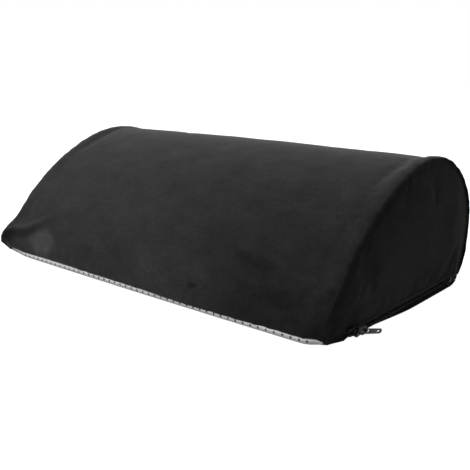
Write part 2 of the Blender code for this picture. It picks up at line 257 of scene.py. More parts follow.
def velour_arc(x):
    """from the front bottom seam, over the crest, to the back bottom seam, as (y, z)"""
    left = 0.5 - x / length
    front = Vector((-base_front, seam_height + seam_upright))
    crest = Vector((crest_back + left_crest_back * left, crest_height + left_crest_rise * left))
    reach = Vector((crest_reach_front + left_crest_reach * left, 0))
    bulge = Vector((bulge_back, bulge_height))
    back = Vector((base_back, seam_height + seam_upright))
    lean = Vector((math.sin(foot_lean), math.cos(foot_lean)))
    spans = (
        (front, front + Vector((0, front_rise)), crest - reach, crest),
        (crest, crest + Vector((crest_reach_back, 0)), bulge + Vector((0, bulge_reach_up)), bulge),
        (bulge, bulge - Vector((0, bulge_reach_down)), back + foot_reach * lean, back),
    )
    points = [Vector((-base_front, seam_height)), front]
    for span, steps in zip(spans, arc_steps):
        points += [Vector((p[0], p[1])) for p in interpolate_bezier(*span, steps + 1)[1:]]
    points.append(Vector((base_back, seam_height)))
    return points


def base_turn(steps=8):
    """from the back seam, round under the base, to the front seam"""
    rise = seam_height - seam_upright
    back, front = [Vector((base_back, seam_height))], [Vector((-base_front, seam_height))]
    for step in range(steps + 1):
        angle = math.pi / 2 * step / steps
        z = rise * (1 - math.sin(angle))
        back.append(Vector((base_back - back_turn * (1 - math.cos(angle)), z)))
        front.append(Vector((-base_front + front_turn * (1 - math.cos(angle)), z)))
    return back + front[::-1]


def base_line():
    """the base's own line, whose edges are tucked up behind the velour"""
    turn = base_turn()
    turn[0].x -= base_tuck
    turn[-1].x += base_tuck
    rise = Vector((0, base_tuck_rise))
    return [turn[0] + rise] + turn + [turn[-1] + rise]


def at_station(points, x):
    """the outline's points at one place along the pillow: crowned, and lower between the end rims"""
    across = x / half_length
    crown = middle_crown * (1 - across * across)
    from_end = half_length - abs(x)
    dip = rim_height * grown(from_end, seam_land, rim_run)
    return [p * (1 + (crown - dip * p.y / crest_height) / crest_height) for p in points]


def settled(x, y, z):
    """a point of the cover, moved with the corner that it is near: the left front one juts out like an ear"""
    here = Vector((x, y, z))
    if y > 0:
        along = grown(x, half_length - rear_corner_run, rear_corner_run)
        across = grown(y, rear_corner_start, base_back - rear_corner_start)
        return here + Vector(rear_corner_move) * along * across * across * (1 - smooth(z / rear_corner_fade))
    run = right_corner_run if x > 0 else left_corner_run
    along = grown(abs(x), half_length - run, run)
    across = grown(-y, corner_start, base_front - corner_start)
    share = along * across * across
    lift = 1 - smooth(z / corner_fade)
    if x > 0:
        return here + Vector(right_corner_move) * share * lift
    out, forward, up = left_corner_move
    tuck = grown(z, left_tuck[0], left_tuck[1] - left_tuck[0])
    flare = tuck * (1 - grown(z, left_flare[0], left_flare[1] - left_flare[0]))
    return here + Vector((out * flare, forward * flare, up * lift * (0.5 + 0.5 * tuck))) * share


def hem_drop(x):
    """how far the velour's front edge hangs over the grip fabric: most at the corners, a little between"""
    corner = grown(abs(x), half_length - corner_hem_run, corner_hem_run)
    most = right_corner_hem if x > 0 else left_corner_hem
    even = most * corner + sag_hem * hump(x - sag_at, sag_run) - rise_hem * hump(x - rise_at, rise_run)
    return even + ragged_hem * wave(x, 0.0, 0.0, ragged_hem_scale)


def evenly(points, count, margin):
    """points at even steps along a line, from a margin in from its start to a margin in from its end"""
    reach = np.cumsum([0.0] + [(b - a).length for a, b in zip(points, points[1:])])
    at = np.linspace(margin, reach[-1] - margin, count)
    across = np.interp(at, reach, [p.x for p in points])
    up = np.interp(at, reach, [p.y for p in points])
    return [Vector(p) for p in zip(across, up)]


def drawn_in(points, distance):
    """an open outline, walked clockwise, moved inwards by a distance"""
    moved = []
    for i, point in enumerate(points):
        before, after = points[max(i - 1, 0)], points[min(i + 1, len(points) - 1)]
        run = (after - before).normalized()
        moved.append(point + Vector((run.y, -run.x)) * distance)
    return moved


# Building and finishing a piece


def finished(name, bm, body, material, sharp=60.0):
    """a piece of the scene from its mesh, with its material and the body that it rides on"""
    mesh = bpy.data.meshes.new(name)
    bm.to_mesh(mesh)
    bm.free()
    mesh.shade_smooth()
    mesh.set_sharp_from_angle(angle=math.radians(sharp))
    mesh.materials.append(material)
    obj = bpy.data.objects.new(name, mesh)
    bpy.context.scene.collection.objects.link(obj)
    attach(obj, body)
    return obj


def cloth_grid(columns, rows, place):
    """a grid of cloth: place(i, j) gives a crossing's point, and its place on the flat cloth in metres"""
    bm = bmesh.new()
    bmesh.ops.create_grid(bm, x_segments=columns, y_segments=rows, size=0.5)
    flat = {}
    for v in bm.verts:
        i, j = round((v.co.x + 0.5) * columns), round((v.co.y + 0.5) * rows)
        v.co, flat[v] = place(i, j)
    layer = bm.loops.layers.uv.new("cloth")
    for face in bm.faces:
        for loop in face.loops:
            loop[layer].uv = flat[loop.vert]
    return bm


def blown(bm, cap):
    """the cloth after air has pressed it out between its held edges, no further than the cap"""
    mesh = bpy.data.meshes.new("blown")
    bm.to_mesh(mesh)
    obj = bpy.data.objects.new("blown", mesh)
    scene = bpy.context.scene
    scene.collection.objects.link(obj)
    edge = [v.index for v in bm.verts if v.is_boundary]
    held = obj.vertex_groups.new(name="held")
    held.add(edge, 1.0, "REPLACE")
    cloth = obj.modifiers.new("cloth", "CLOTH")
    cloth.settings.quality = 5
    cloth.settings.mass = 0.2
    cloth.settings.tension_stiffness = 40
    cloth.settings.compression_stiffness = 40
    cloth.settings.shear_stiffness = 20
    cloth.settings.bending_stiffness = 1.0
    cloth.settings.use_pressure = True
    cloth.settings.uniform_pressure_force = air_pressure
    cloth.settings.shrink_min = -0.012
    cloth.settings.vertex_group_mass = "held"
    cloth.settings.effector_weights.gravity = 0
    cloth.collision_settings.use_collision = False
    for step in range(cloth_frames):
        scene.frame_set(step + 1)
    settled_mesh = obj.evaluated_get(bpy.context.evaluated_depsgraph_get()).data
    moves = [after.co - before.co for before, after in zip(mesh.vertices, settled_mesh.vertices)]
    print("cloth moved at most", max(m.length for m in moves))
    for v, move in zip(bm.verts, moves):
        far = move.length
        if far > 0:
            v.co += move * (cap * math.tanh(far / cap) / far)
    bpy.data.objects.remove(obj)
    scene.frame_set(1)


def refined(bm):
    """one subdivision, which also rounds the cloth between its crossings"""
    bmesh.ops.subdivide_edges(bm, edges=bm.edges, cuts=1, use_grid_fill=True, smooth=1.0)
    inner = [v for v in bm.verts if not v.is_boundary]
    for _ in range(2):
        bmesh.ops.smooth_vert(bm, verts=inner, factor=0.5, use_axis_x=True, use_axis_y=True, use_axis_z=True)


def relieved(bm, height):
    """each point of the cloth moved out along its normal by height(flat place, point)"""
    bm.normal_update()
    layer = bm.loops.layers.uv.active
    moves = []
    for v in bm.verts:
        flat = v.link_loops[0][layer].uv
        moves.append((v, v.normal * height(flat, v.co)))
    for v, move in moves:
        v.co += move


def rolled_edges(bm):
    """the cloth's edges rolled in towards the seam that they are sewn into"""
    bm.normal_update()
    edges = [e for e in bm.edges if e.is_boundary]
    verts = {v for e in edges for v in e.verts}
    base = {}
    for v in verts:
        out = Vector()
        for e in v.link_edges:
            if e.is_boundary:
                face = e.link_faces[0]
                side = (e.verts[1].co - e.verts[0].co).cross(face.normal).normalized()
                middle = (e.verts[0].co + e.verts[1].co) / 2
                if side.dot(middle - face.calc_center_median()) < 0:
                    side.negate()
                out += side
        base[v] = (v.co.copy(), out.normalized(), v.normal.copy())
    for outwards, inwards in roll_steps:
        made = bmesh.ops.extrude_edge_only(bm, edges=edges)["geom"]
        edges = [g for g in made if isinstance(g, bmesh.types.BMEdge) and g.is_boundary]
        old, base = base, {}
        for v in {v for e in edges for v in e.verts}:
            near = next(w for e in v.link_edges for w in e.verts if w in old)
            base[v] = old[near]
            start, out, normal = old[near]
            v.co = start + out * outwards - normal * inwards


def walled(bm):
    """the cloth given its thickness"""
    bm.normal_update()
    bmesh.ops.solidify(bm, geom=bm.faces[:], thickness=cloth_wall)


# Materials


# Where most of a noise texture's values lie
noise_range = (0.3, 0.7)


class Finish:
    """a material, its shader, and a short way to add nodes to it"""

    # The Mix node's colour sockets
    mix_below, mix_above, mixed = 6, 7, 2

    def __init__(self, name, color, roughness, **sockets):
        self.material = bpy.data.materials.new(name)
        self.material.use_nodes = True
        self.nodes = self.material.node_tree.nodes
        self.links = self.material.node_tree.links
        self.shader = self.nodes["Principled BSDF"]
        self.shader.inputs["Base Color"].default_value = (*color, 1.0)
        self.shader.inputs["Roughness"].default_value = roughness
        for socket, value in sockets.items():
            self.shader.inputs[socket.replace("_", " ")].default_value = value

    def node(self, kind, **values):
        node = self.nodes.new("ShaderNode" + kind)
        for key, value in values.items():
            socket = node.inputs.get(key.replace("_", " "))
            if socket is not None:
                socket.default_value = value
            else:
                setattr(node, key, value)
        return node

    def link(self, source, target):
        self.links.new(source, target)

    def coordinates(self, kind, scale=(1, 1, 1), turn=(0, 0, 0)):
        source = self.node("TexCoord")
        mapping = self.node("Mapping")
        mapping.inputs["Scale"].default_value = scale
        mapping.inputs["Rotation"].default_value = turn
        self.link(source.outputs[kind], mapping.inputs["Vector"])
        return mapping.outputs["Vector"]

    def noise(self, vector, scale, detail=2.0, roughness=0.5, distortion=0.0):
        node = self.node("TexNoise", Scale=scale, Detail=detail, Roughness=roughness, Distortion=distortion)
        self.link(vector, node.inputs["Vector"])
        return node.outputs["Fac"]

    def ramp(self, value, low, high, from_low=0.0, from_high=1.0):
        node = self.node("MapRange")
        node.clamp = False
        node.inputs["From Min"].default_value = from_low
        node.inputs["From Max"].default_value = from_high
        node.inputs["To Min"].default_value = low
        node.inputs["To Max"].default_value = high
        self.link(value, node.inputs["Value"])
        return node.outputs["Result"]

    def math(self, operation, a, b):
        node = self.node("Math", operation=operation)
        for socket, value in zip(node.inputs, (a, b)):
            if isinstance(value, (int, float)):
                socket.default_value = value
            else:
                self.link(value, socket)
        return node.outputs["Value"]

    def tinted(self, color, shade):
        """the base colour times a shade that varies over the surface"""
        node = self.node("Mix", data_type="RGBA", blend_type="MULTIPLY")
        node.inputs["Factor"].default_value = 1.0
        node.inputs[self.mix_below].default_value = (*color, 1.0)
        self.link(shade, node.inputs[self.mix_above])
        self.link(node.outputs[self.mixed], self.shader.inputs["Base Color"])

    def bumped(self, height, distance, strength=1.0, below=None):
        node = self.node("Bump", Strength=strength, Distance=distance)
        self.link(height, node.inputs["Height"])
        if below:
            self.link(below, node.inputs["Normal"])
        self.link(node.outputs["Normal"], self.shader.inputs["Normal"])
        return node.outputs["Normal"]


velour_color = (0.0190, 0.0190, 0.0194)
velour_sheen = 0.20
velour_specular = 0.035
nap_clouds = 38
nap_swells = 90
nap_marks = 240
nap_grain = 1500


def velour():
    """short brushed pile: cloudy where the nap lies differently, and finely grained"""
    tint = (0.75, 0.75, 0.78, 1.0)
    finish = Finish("velour", velour_color, 0.52, Sheen_Roughness=0.35, Sheen_Tint=tint)
    flat = finish.coordinates("UV")
    brushed = finish.coordinates("UV", (0.8, 1.3, 1.0))
    clouds = finish.ramp(finish.noise(brushed, nap_clouds, 6, 0.68, 0.3), 0.70, 1.30, *noise_range)
    marks = finish.ramp(finish.noise(flat, nap_marks, 4, 0.7), 0.78, 1.22, *noise_range)
    grain_noise = finish.noise(flat, nap_grain, 2, 0.6)
    grain = finish.ramp(grain_noise, 0.78, 1.22, *noise_range)
    # The shade attribute lightens or darkens the colour: it carries painted light and shade as well as marks
    # in the nap
    shade = finish.node("Attribute", attribute_name="shade")
    mixed = finish.math("MULTIPLY", finish.math("MULTIPLY", clouds, marks), grain)
    finish.tinted(velour_color, finish.math("MULTIPLY", mixed, shade.outputs["Fac"]))
    shine = finish.node("Attribute", attribute_name="shine").outputs["Fac"]
    finish.link(finish.ramp(shine, 0.0, velour_sheen), finish.shader.inputs["Sheen Weight"])
    finish.link(finish.ramp(shine, 0.0, velour_specular), finish.shader.inputs["Specular IOR Level"])
    soft = finish.bumped(finish.noise(brushed, nap_swells, 4, 0.7), 0.0004, 0.35)
    finish.bumped(grain_noise, 0.0003, 0.6, soft)
    return finish.material


def shaded(bm, **values):
    """writes how light the colour is at each point, which carries painted light and shade, and how much it
    shines, each as value(flat place)
    """
    uv = bm.loops.layers.uv.active
    for name, value in values.items():
        layer = bm.verts.layers.float.new(name)
        for v in bm.verts:
            v[layer] = value(v.link_loops[0][uv].uv)


spot_edge = 1.15
spot_fade = 0.6


def spot(flat, middle, reach):
    """1 in the middle of an oval on the flat cloth, fading to 0 at its edge"""
    away = math.hypot((flat[0] - middle[0]) / reach[0], (flat[1] - middle[1]) / reach[1])
    return grown(away, spot_edge, -spot_fade)


# Marks on the front, each as how much lighter it is, its place on the flat cloth and its reach: a rubbed
# patch where the nap lies the other way, and painted shade at the left front corner's tip and in the pinch
pinch = ((0.0738, 0.0178), (0.0070, 0.0028))
front_marks_and_painted_shade = (
    (0.80, (-0.1650, 0.0175), (0.0270, 0.0160)),
    (-0.35, (-0.2200, 0.0080), (0.0130, 0.0200)),
    (-0.45, *pinch),
)
# Darker patches on the lower right of the front
dark_patches = (
    (-0.22, (0.1438, 0.0514), (0.016, 0.007)),
    (-0.22, (0.175, 0.0265), (0.013, 0.010)),
    (-0.22, (0.120, 0.055), (0.012, 0.005)),
)

# The left front corner's crease: its line on the flat cloth, its ridge, the hollow under it, how both fade,
# and the painted highlight along its ridge and painted shade in its hollow
crease = [Vector(p) for p in ((-0.2238, 0.0215), (-0.2025, 0.0290), (-0.180, 0.0395), (-0.1562, 0.0510))]
ridge = 0.0018
ridge_reach = 0.0035
hollow = 0.0016
hollow_reach = 0.006
hollow_below = 0.009
crease_start_run = 0.010
crease_end = 0.080
crease_end_run = 0.05
ridge_painted_light = 0.50
ridge_painted_light_reach = 0.0030
hollow_painted_shade = 0.30

# The top panel's relief: how high its waves are and their scale and, at a seam, how far in they fade
swell, swell_scale = 0.0005, 16.0
ripple, ripple_scale = 0.00025, 42.0
end_pucker, end_pucker_scale, end_pucker_fade = 0.00055, 115.0, 0.011
seam_pucker, seam_pucker_scale, seam_pucker_fade = 0.00045, 105.0, 0.008
seam_fuzz, seam_fuzz_scale, seam_fuzz_fade = 0.00025, 420.0, 0.002
pucker_stretch = 0.25
pinch_depth = 0.0012

# Painted shade along the end seams where the cloth turns in, and dark flecks of painted shade from small
# puckers inside the right one
seam_painted_shade, seam_painted_shade_fade = 0.25, 0.0022
fleck_painted_shade, fleck_scale, fleck_fade, fleck_stretch = 0.7, 170.0, 0.007, 0.5

# Painted light and shade over the front, as light falls on it: how much lighter, then a start and a run up
# the cloth, and others along it
front_painted_light = (
    (-0.08, (0.175, -0.060), ()),
    (0.42, (0.058, -0.038), ((-0.04, 0.06), (0.130, -0.05))),
    (-0.36, (0.170, -0.110), ((-0.06, 0.22),)),
)


def from_line(point, line):
    """how far a point is above a line of points, and how far along the line its nearest point is"""
    best, at, gone = 1.0, 0.0, 0.0
    for a, b in zip(line, line[1:]):
        run = b - a
        share = min(max((point - a).dot(run) / run.length_squared, 0.0), 1.0)
        away = point - a - run * share
        if away.length < abs(best):
            best = math.copysign(away.length, run.x * away.y - run.y * away.x)
            at = gone + share * run.length
        gone += run.length
    return best, at


def top_height(flat, point):
    """the relief of the top panel: soft waves, puckers along its seams, and the corner's crease"""
    x, s = flat
    from_end = half_length - abs(x)
    from_seam = min(s, top_reach - s)
    height = swell * wave(x, s, 0.0, swell_scale) + ripple * wave(x, s, 4.0, ripple_scale)
    pucker = wave(x * pucker_stretch, s, 7.0, end_pucker_scale)
    height += end_pucker * fall(from_end, end_pucker_fade) * pucker
    pucker = wave(x, s * pucker_stretch, 9.0, seam_pucker_scale)
    height += seam_pucker * fall(from_seam, seam_pucker_fade) * pucker
    height += seam_fuzz * fall(min(from_end, from_seam), seam_fuzz_fade) * wave(x, s, 2.0, seam_fuzz_scale)
    above, at = from_line(Vector(flat), crease)
    fade = smooth(at / crease_start_run) * grown(at, crease_end, -crease_end_run)
    fold = ridge * hump(above, ridge_reach) - hollow * hump(above + hollow_below, hollow_reach)
    height += fold * fade
    height -= pinch_depth * spot(flat, *pinch)
    return height


def top_marks_and_painted_shade(flat):
    """how light the top panel's colour is: a rubbed patch, darker patches, and painted light and shade at its
    seams, puckers, pinch, crease and over the front
    """
    x, s = flat
    from_end = half_length - abs(x)
    # painted shade where the cloth turns into the end seams, and painted flecks of shade by the right seam
    shade = 1.0 - seam_painted_shade * fall(from_end, seam_painted_shade_fade)
    flecks = max(wave(x * fleck_stretch, s, 5.0, fleck_scale), 0.0) if x > 0 else 0.0
    shade *= 1 - fleck_painted_shade * flecks * fall(from_end, fleck_fade)
    # the rubbed patch, painted shade at the corner's tip and in the pinch, and the darker patches
    for lighter, middle, reach in front_marks_and_painted_shade + dark_patches:
        shade *= 1 + lighter * spot(flat, middle, reach)
    # painted highlight along the crease's ridge, and painted shade in the hollow under it
    above, at = from_line(Vector(flat), crease)
    fold = ridge_painted_light * hump(above, ridge_painted_light_reach)
    fold -= hollow_painted_shade * hump(above + hollow_below, hollow_reach)
    shade *= 1 + fold * grown(at, crease_end, -crease_end_run)
    # painted light and shade over the front: a little darker low down, lighter along the bottom in the
    # middle, darker over the lower right
    for lighter, up, along in front_painted_light:
        tone = lighter * grown(s, *up)
        for start, run in along:
            tone *= grown(x, start, run)
        shade *= 1 + tone
    return shade


top_reach = sum((b - a).length for a, b in zip(velour_arc(0.0), velour_arc(0.0)[1:]))


def top_panel():
    """the arched sheet of velour"""
    columns, rows = round(length / cell), round(top_reach / cell)
    steps = [edge_roll + (top_reach - 2 * edge_roll) * j / rows for j in range(rows + 1)]

    def place(i, j):
        x = (half_length - edge_roll) * (2 * i / columns - 1)
        if i not in sections:
            sections[i] = evenly(at_station(velour_arc(x), x), rows + 1, edge_roll)
        point = sections[i][j]
        here = settled(x, point.x, point.y - hem_drop(x) * smooth(1 - steps[j] / hem_reach))
        if i in (0, columns):
            here.x += ragged_seam * wave(x, steps[j], 0.0, ragged_seam_scale)
        return here, (x, steps[j])

    sections = {}
    bm = cloth_grid(columns, rows, place)
    blown(bm, top_cap)
    refined(bm)
    relieved(bm, top_height)
    shaded(bm, shade=top_marks_and_painted_shade, shine=top_marks_and_painted_shade)
    rolled_edges(bm)
    walled(bm)
    obj = finished("velour_top", bm, "cushion", velour_black)
    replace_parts(obj, "top_panel")


# The two ends


def end_outline(side):
    """the end panel's edge in two runs, both from front to back: under it, and over it"""
    x = side * half_length
    over = drawn_in(at_station(velour_arc(x), x), panel_inset)
    under = drawn_in(at_station(base_turn(), x), end_hem_inset)[::-1]
    return under[turn_cut:-turn_cut], under[turn_cut::-1] + over[1:-1] + under[:-turn_cut - 2:-1]


def zip_opening(y):
    """how far the right end's bottom edge is opened up for the zip, from 0 to 1"""
    front = grown(y, -zip_length / 2, opening_front_run)
    back = grown(y, zip_length / 2 - opening_back_inset, -opening_back_run)
    return front * back


def end_panel(name, node, side):
    """the half moon of velour at one end: side is 1 at the right and -1 at the left"""
    under, over = end_outline(side)
    columns, rows = end_columns, end_rows
    middle = Vector((crest_back / 2, crest_height / 2))
    loop = evenly(over, loop_points, 0.0)
    up, down = (int(loop_points * side_end) for side_end in end_sides)
    left = evenly(loop[:up], rows + 1, 0.0)
    top = evenly(loop[up - 1:down], columns + 1, 0.0)
    right = evenly(loop[down - 1:], rows + 1, 0.0)[::-1]
    bottom = evenly(under, columns + 1, 0.0)
    if side > 0:
        bottom = [Vector((p.x, p.y + (hem_height - p.y) * zip_opening(p.x))) for p in bottom]
    ring = left + top + right + bottom

    def place(i, j):
        a, b = i / columns, j / rows
        flat = bottom[i] * (1 - b) + top[i] * b + left[j] * (1 - a) + right[j] * a
        low = bottom[0] * (1 - a) * (1 - b) + bottom[-1] * a * (1 - b)
        flat -= low + top[0] * (1 - a) * b + top[-1] * a * b
        flat = flat + (middle - flat).normalized() * ring_gap
        away = min((flat - p).length for p in ring)
        bulge = end_bulge * (1 - (1 - min(away / bulge_run, 1.0)) ** 2)
        x = half_length - end_set_in + bulge - groove * hump(away - groove_at, groove_reach)
        if side > 0:
            x += hem_push * zip_opening(flat.x) * smooth(1 - (flat.y - hem_height) / hem_push_reach)
        return settled(side * x, flat.x, flat.y), (flat.x, flat.y)

    bm = cloth_grid(columns, rows, place)
    if side < 0:
        bmesh.ops.reverse_faces(bm, faces=bm.faces)
    blown(bm, end_cap)
    refined(bm)

    def edge_away(flat):
        return min((flat - p).length for p in ring)

    def height(flat, point):
        away = edge_away(flat)
        turn = math.atan2(flat.y - middle.y, flat.x - middle.x)
        relief = end_swell * wave(flat.x, flat.y, side * 3.0, end_swell_scale)
        pucker = wave(math.cos(turn), math.sin(turn), side * 5.0, rim_pucker_scale)
        return relief + rim_pucker * fall(away, rim_pucker_fade) * pucker

    def shade(flat):
        # painted shade: darker all over, and darker still along the seam
        even = end_painted_shade - end_seam_painted_shade * hump(edge_away(flat), end_seam_reach)
        return even * (1 + end_cloud * wave(flat.x, flat.y, 8.0, end_cloud_scale))

    def shine(flat):
        return end_shine - flat.x

    relieved(bm, height)
    shaded(bm, shade=shade, shine=shine)
    rolled_edges(bm)
    walled(bm)
    obj = finished(name, bm, "cushion", velour_black)
    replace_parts(obj, node)


# The base


def grip_fabric():
    """pale woven cloth, a little cloudy"""
    color = (0.62, 0.62, 0.61)
    finish = Finish("grip_fabric", color, 0.85, Specular_IOR_Level=0.25)
    flat = finish.coordinates("UV")
    weft = finish.node("TexWave", wave_type="BANDS", bands_direction="X", Scale=330.0, Distortion=0.6)
    warp = finish.node("TexWave", wave_type="BANDS", bands_direction="Y", Scale=330.0, Distortion=0.6)
    finish.link(flat, weft.inputs["Vector"])
    finish.link(flat, warp.inputs["Vector"])
    weave = finish.math("MULTIPLY", weft.outputs["Fac"], warp.outputs["Fac"])
    clouds = finish.ramp(finish.noise(flat, 60, 4, 0.6), 0.93, 1.05, *noise_range)
    finish.tinted(color, finish.math("MULTIPLY", finish.ramp(weave, 0.86, 1.06), clouds))
    finish.bumped(weave, 0.00025, 0.6)
    return finish.material


def grip_rubber():
    """the dots' near black rubber"""
    color = (0.035, 0.035, 0.037)
    finish = Finish("grip_rubber", color, 0.55, Specular_IOR_Level=0.4)
    place = finish.coordinates("Object")
    finish.tinted(color, finish.ramp(finish.noise(place, 900, 2), 0.85, 1.2, *noise_range))
    return finish.material


def tape_lip():
    """the spare width of the lower tape, which lies on the floor under the zip and widens to the back"""
    columns, rows = 64, 3

    def place(i, j):
        y = lip_start + lip_run * i / columns
        wider, narrower = (much * grown(y, start, run) for much, start, run in (lip_wider, lip_narrower))
        out = lip_inner + wider - narrower
        x = lip_inner - lip_under + (out - lip_inner + lip_under) * j / rows
        return Vector((x, y, lip_level)), (x, y)

    bm = cloth_grid(columns, rows, place)
    refined(bm)
    bmesh.ops.solidify(bm, geom=bm.faces[:], thickness=lip_wall)
    finished("tape_lip", bm, "cushion", tape_weave())


under_line = base_line()
base_reach = sum((b - a).length for a, b in zip(under_line, under_line[1:]))


def base_end(y):
    """how far the base runs towards the zip end"""
    return half_length - base_end_inset - (base_cut_in - base_end_inset) * zip_opening(y)


def base_spot(share, s):
    """the point of the base a share of the way to its right end, at s along its turn from the back seam"""
    start = -half_length + base_end_inset
    points = at_station(under_line, share * length - half_length)
    reach = np.cumsum([0.0] + [(b - a).length for a, b in zip(points, points[1:])])
    reach *= base_reach / reach[-1]
    y = float(np.interp(s, reach, [p.x for p in points]))
    z = float(np.interp(s, reach, [p.y for p in points]))
    x = start + (base_end(y) - start) * share
    here = settled(x, y, z + dot_height * (1 - smooth(z / seam_height)))
    if y < 0:
        here.y += max(hem_drop(x), 0.0) * base_hem_share * smooth(z / seam_height)
    return here


def base_height(flat, point):
    """the relief of the base's turned-up edges; its underside is flat"""
    if point.z > base_relief_from:
        return base_relief * wave(flat.x, flat.y, 1.0, base_relief_scale)
    return 0.0


def base_panel():
    """the grip fabric underneath, turned up at the front and the back"""
    columns = round(length / cell)
    turned = [fine_row * j for j in range(fine_rows)]
    flat_run = base_reach - 2 * turned[-1]
    steps = turned[:-1] + [turned[-1] + flat_run * j / flat_rows for j in range(flat_rows + 1)]
    steps += [base_reach - step for step in turned[-2::-1]]
    rows = len(steps) - 1

    def place(i, j):
        spot_at = base_spot(i / columns, steps[j])
        return spot_at, (spot_at.x, steps[j])

    bm = cloth_grid(columns, rows, place)
    refined(bm)
    relieved(bm, base_height)
    rolled_edges(bm)
    walled(bm)
    obj = finished("grip_base", bm, "cushion", grip_fabric())
    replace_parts(obj, "base_panel")


def grip_dots():
    """rows of low dots on the grip fabric, each row shifted by half a step from the next"""
    bm = bmesh.new()
    rows = int((base_reach - 2 * base_tuck_rise) / dot_row)
    count = int((length - 2 * dot_margin) / dot_pitch)
    for row in range(rows):
        for k in range(count):
            x = -half_length + dot_margin + (k + 0.5 * (row % 2)) * dot_pitch
            share = (x + half_length) / length
            s = base_reach - base_tuck_rise - first_dot_row - row * dot_row
            s += dot_row_sway * wave(x, 6.0, 0.0, dot_row_sway_scale)
            here = base_spot(share, s)
            along = (base_spot(share + dot_near_share, s) - base_spot(share - dot_near_share, s)).normalized()
            across = (base_spot(share, s + dot_near_s) - base_spot(share, s - dot_near_s)).normalized()
            out = along.cross(across)
            if here.x > base_end(here.y) - dot_edge_room:
                continue
            turn = Matrix((along, across, out)).transposed().to_4x4()
            low = Matrix.Translation((0, 0, dot_height / 2 - dot_sink))
            bmesh.ops.create_cone(
                bm, cap_ends=True, segments=dot_sides, radius1=dot_radius, radius2=dot_radius * dot_top,
                depth=dot_height, matrix=Matrix.Translation(here) @ turn @ low,
            )
    finished("grip_dots", bm, "cushion", grip_rubber(), sharp=75.0)


# The foam


def foam_block():
    """open-cell foam, from the solid's mesh"""
    color = (0.80, 0.73, 0.52)
    finish = Finish("open_foam", color, 0.95, Specular_IOR_Level=0.15)
    place = finish.coordinates("Object")
    cells = finish.node("TexVoronoi", Scale=900.0)
    finish.link(place, cells.inputs["Vector"])
    finish.tinted(color, finish.ramp(cells.outputs["Distance"], 1.08, 0.72, 0.0, 0.7))
    finish.bumped(cells.outputs["Distance"], 0.0004, -0.8)
    bm = bmesh.new()
    bm.from_mesh(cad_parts["foam_core"].data)
    bmesh.ops.remove_doubles(bm, verts=bm.verts, dist=foam_weld)
    bmesh.ops.join_triangles(bm, faces=bm.faces[:], angle_face_threshold=0.5, angle_shape_threshold=2.0)
    bmesh.ops.subdivide_edges(bm, edges=bm.edges, cuts=1, use_grid_fill=True)
    bm.normal_update()
    for v in bm.verts:
        x, y, z = v.co
        share = grown(-x, *foam_corner_x) * grown(-y, *foam_corner_y) * grown(z, *foam_corner_z)
        v.co += Vector(foam_corner_move) * share - v.normal * foam_shrink
    obj = finished("foam_block", bm, "cushion", finish.material, sharp=40.0)
    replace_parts(obj, "foam_core")


# The zip


def zip_matrix():
    """from the zip's own axes, along it, across it and out of it, to the frame's"""
    s, c = math.sin(zip_tilt), math.cos(zip_tilt)
    along, across, out = Vector((0, 1, 0)), Vector((s, 0, c)), Vector((c, 0, -s))
    turned = Matrix((along, across, out)).transposed().to_4x4()
    return Matrix.Translation((half_length - zip_set_in, 0, zip_height)) @ turned


def spread(u):
    """how far each row of the coil is pushed aside inside the slider"""
    throat = slider_home + slider_throat
    mouth = slider_home - slider_half
    return coil_spread * grown(u, throat, mouth - throat)


def stop_room(u):
    """the rows stand a little apart by the bottom stop, where the slider's wedge can come to rest"""
    away = u - (slider_home + slider_travel - slider_half)
    return wedge_room * hump(away, wedge_room_reach)


def nylon():
    """the coil's near black nylon"""
    color = (0.008, 0.008, 0.0085)
    finish = Finish("coil_nylon", color, 0.6, Specular_IOR_Level=0.08)
    place = finish.coordinates("Object")
    finish.tinted(color, finish.ramp(finish.noise(place, 700, 2), 0.8, 1.3, *noise_range))
    return finish.material


def wire(name, points, radii, radius, material, sides=3):
    """a round wire through points, as a mesh"""
    drawing = bpy.data.curves.new(name, "CURVE")
    drawing.dimensions = "3D"
    drawing.bevel_depth = radius
    drawing.bevel_resolution = sides
    drawing.use_fill_caps = True
    spline = drawing.splines.new("POLY")
    spline.points.add(len(points) - 1)
    for knot, point, share in zip(spline.points, points, radii):
        knot.co = (*point, 1.0)
        knot.radius = share
    drawn = bpy.data.objects.new(name + "_line", drawing)
    bpy.context.scene.collection.objects.link(drawn)
    mesh = bpy.data.meshes.new_from_object(drawn.evaluated_get(bpy.context.evaluated_depsgraph_get()))
    bpy.data.objects.remove(drawn)
    bm = bmesh.new()
    bm.from_mesh(mesh)
    bmesh.ops.remove_doubles(bm, verts=bm.verts, dist=wire_weld)
    bmesh.ops.recalc_face_normals(bm, faces=bm.faces)
    return finished(name, bm, "cushion", material)


def coil(name, node, side, material):
    """one row of the zip: a nylon wire wound flat, whose tips reach past the middle of the zip"""
    to_world = zip_matrix()
    first = slider_home - slider_half + pitch
    last = bottom_stop_u - bottom_stop_half - pitch
    shift = 0.0 if side > 0 else pitch / 2
    turns = int((last - first - shift) / pitch)
    points, radii = [], []
    centre_v = (coil_half - coil_overlap) / 2
    half_v = (coil_half + coil_overlap) / 2 - coil_wire
    centre_w = coil_level + coil_height / 2
    half_w = coil_height / 2 - coil_wire
    for step in range(turns * coil_turn_points + 1):
        share = step / coil_turn_points
        turn = share % 1.0
        angle = 2 * math.pi * turn
        under = smooth((turn - 0.5) / 0.5)
        u = first + shift + (math.floor(share) + under) * pitch
        c, s = math.cos(angle), math.sin(angle)
        v = centre_v - half_v * math.copysign(abs(c) ** coil_roundness, c)
        w = centre_w + half_w * math.copysign(abs(s) ** coil_roundness, s)
        points.append(to_world @ Vector((u, side * (v + spread(u) + stop_room(u)), w)))
        radii.append(1.0 + coil_tip_swell * smooth(c))
    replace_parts(wire(name, points, radii, coil_wire, material), node)


